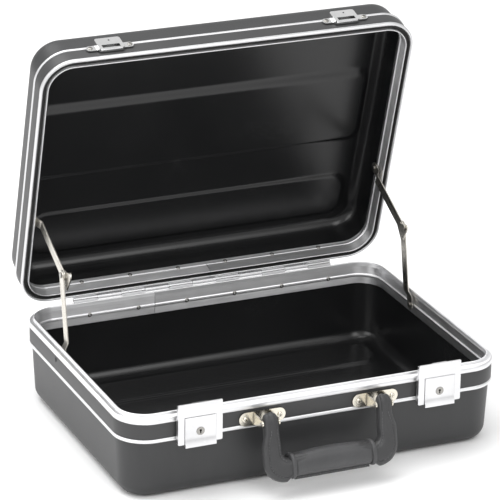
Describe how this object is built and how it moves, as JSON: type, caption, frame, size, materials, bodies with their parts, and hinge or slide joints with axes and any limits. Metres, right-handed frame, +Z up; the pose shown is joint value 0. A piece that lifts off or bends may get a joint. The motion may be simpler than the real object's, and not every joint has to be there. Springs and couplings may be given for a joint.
{
  "type": "attache case",
  "caption": "Hard attache case with an aluminium tongue-and-groove frame: hinged lid on folding stays, key locks with catches and a drop handle.",
  "frame": {"origin": "centre of the base underside, on the flat it stands on", "axes": "+X to the right seen from the front, +Y from the front to the hinge, +Z up"},
  "size_m": [0.4576, 0.4397, 0.4406],
  "materials": {
    "shell_plastic": "fine-grained satin black",
    "inlay_strip": "satin black",
    "gasket_rubber": "matt",
    "frame_aluminium": "satin anodised",
    "hinge_aluminium": "satin",
    "handle_leatherette": "fine grain",
    "steel_pins": "satin",
    "bracket_nickel": "nickel plate",
    "stay_nickel": "nickel plate",
    "lock_nickel": "satin nickel plate"
  },
  "bodies": {
    "base": {"base_shell": "shell_plastic", "base_frame": "frame_aluminium", "base_inlay": "inlay_strip", "hinge_leaf_base": "hinge_aluminium", "hinge_pin": "steel_pins", "lock_plate_left": "lock_nickel", "lock_lever_pin_left": "steel_pins", "handle_bracket_left": "bracket_nickel", "handle_pin_left": "steel_pins", "stay_base_rivet_left": "steel_pins", "lock_plate_right": "lock_nickel", "lock_lever_pin_right": "steel_pins", "handle_bracket_right": "bracket_nickel", "handle_pin_right": "steel_pins", "stay_base_rivet_right": "steel_pins", "bracket_screw_left_a": "bracket_nickel", "bracket_screw_left_b": "bracket_nickel", "bracket_screw_right_a": "bracket_nickel", "bracket_screw_right_b": "bracket_nickel"},
    "lid": {"lid_shell": "shell_plastic", "lid_frame": "frame_aluminium", "lid_inlay": "inlay_strip", "lid_gasket": "gasket_rubber", "hinge_leaf_lid": "hinge_aluminium", "catch_left": "lock_nickel", "stay_lid_rivet_left": "steel_pins", "catch_right": "lock_nickel", "stay_lid_rivet_right": "steel_pins", "catch_screw_left_a": "lock_nickel", "catch_screw_left_b": "lock_nickel", "catch_screw_right_a": "lock_nickel", "catch_screw_right_b": "lock_nickel"},
    "handle": {"handle_body": "handle_leatherette", "handle_sleeve": "handle_leatherette", "handle_collar_left": "handle_leatherette", "handle_collar_right": "handle_leatherette"},
    "lever_left": {"lock_lever_left": "lock_nickel", "lock_hasp_pin_left": "steel_pins"},
    "hasp_left": {"lock_hasp_left": "lock_nickel"},
    "cylinder_left": {"key_cylinder_left": "lock_nickel"},
    "stay_lower_left": {"stay_lower_link_left": "stay_nickel", "stay_elbow_rivet_left": "steel_pins"},
    "stay_upper_left": {"stay_upper_link_left": "stay_nickel"},
    "stay_tab_left": {"stay_lock_tab_left": "stay_nickel"},
    "lever_right": {"lock_lever_right": "lock_nickel", "lock_hasp_pin_right": "steel_pins"},
    "hasp_right": {"lock_hasp_right": "lock_nickel"},
    "cylinder_right": {"key_cylinder_right": "lock_nickel"},
    "stay_lower_right": {"stay_lower_link_right": "stay_nickel", "stay_elbow_rivet_right": "steel_pins"},
    "stay_upper_right": {"stay_upper_link_right": "stay_nickel"},
    "stay_tab_right": {"stay_lock_tab_right": "stay_nickel"}
  },
  "joints": [
    {"name": "lid_hinge", "type": "hinge", "parent": "base", "child": "lid", "pos_m": [0, 0.1722, 0.1013], "axis": [1, 0, 0], "range_deg": [0, 74]},
    {"name": "handle_swing", "type": "hinge", "parent": "base", "child": "handle", "pos_m": [0, -0.19, 0.0825], "axis": [-1, 0, 0], "range_deg": [0, 86]},
    {"name": "stay_lower_fold_left", "type": "hinge", "parent": "base", "child": "stay_lower_left", "pos_m": [-0.218, 0.049, 0.086], "axis": [1, 0, 0], "range_deg": [0, 91.3]},
    {"name": "stay_upper_fold_left", "type": "hinge", "parent": "lid", "child": "stay_upper_left", "pos_m": [-0.217, 0.15313, 0.22296], "axis": [-1, 0, 0], "range_deg": [0, 92.7]},
    {"name": "stay_tab_press_left", "type": "hinge", "parent": "stay_upper_left", "child": "stay_tab_left", "pos_m": [-0.21, 0.067, 0.18], "axis": [1, 0, 0], "range_deg": [0, 18], "stiffness_Nm_per_rad": 0.05, "springref_deg": -8.59},
    {"name": "lever_lift_left", "type": "hinge", "parent": "base", "child": "lever_left", "pos_m": [-0.144, -0.172, 0.0946], "axis": [-1, 0, 0], "range_deg": [0, 95]},
    {"name": "hasp_follow_left", "type": "hinge", "parent": "lever_left", "child": "hasp_left", "pos_m": [-0.144, -0.172, 0.0866], "axis": [1, 0, 0], "range_deg": [0, 103]},
    {"name": "key_turn_left", "type": "hinge", "parent": "lever_left", "child": "cylinder_left", "pos_m": [-0.144, -0.1745, 0.08], "axis": [0, -1, 0], "range_deg": [0, 90]},
    {"name": "stay_lower_fold_right", "type": "hinge", "parent": "base", "child": "stay_lower_right", "pos_m": [0.218, 0.049, 0.086], "axis": [1, 0, 0], "range_deg": [0, 91.3]},
    {"name": "stay_upper_fold_right", "type": "hinge", "parent": "lid", "child": "stay_upper_right", "pos_m": [0.217, 0.15313, 0.22296], "axis": [-1, 0, 0], "range_deg": [0, 92.7]},
    {"name": "stay_tab_press_right", "type": "hinge", "parent": "stay_upper_right", "child": "stay_tab_right", "pos_m": [0.21, 0.067, 0.18], "axis": [1, 0, 0], "range_deg": [0, 18], "stiffness_Nm_per_rad": 0.05, "springref_deg": -8.59},
    {"name": "lever_lift_right", "type": "hinge", "parent": "base", "child": "lever_right", "pos_m": [0.144, -0.172, 0.0946], "axis": [-1, 0, 0], "range_deg": [0, 95]},
    {"name": "hasp_follow_right", "type": "hinge", "parent": "lever_right", "child": "hasp_right", "pos_m": [0.144, -0.172, 0.0866], "axis": [1, 0, 0], "range_deg": [0, 103]},
    {"name": "key_turn_right", "type": "hinge", "parent": "lever_right", "child": "cylinder_right", "pos_m": [0.144, -0.1745, 0.08], "axis": [0, -1, 0], "range_deg": [0, 90]}
  ],
  "couplings": [
    {"joint": "stay_lower_fold_left", "follows": "lid_hinge", "ratio": 1.2272},
    {"joint": "stay_upper_fold_left", "follows": "lid_hinge", "ratio": 1.2465},
    {"joint": "hasp_follow_left", "follows": "lever_lift_left", "ratio": 1.08},
    {"joint": "stay_lower_fold_right", "follows": "lid_hinge", "ratio": 1.2272},
    {"joint": "stay_upper_fold_right", "follows": "lid_hinge", "ratio": 1.2465},
    {"joint": "hasp_follow_right", "follows": "lever_lift_right", "ratio": 1.08}
  ]
}
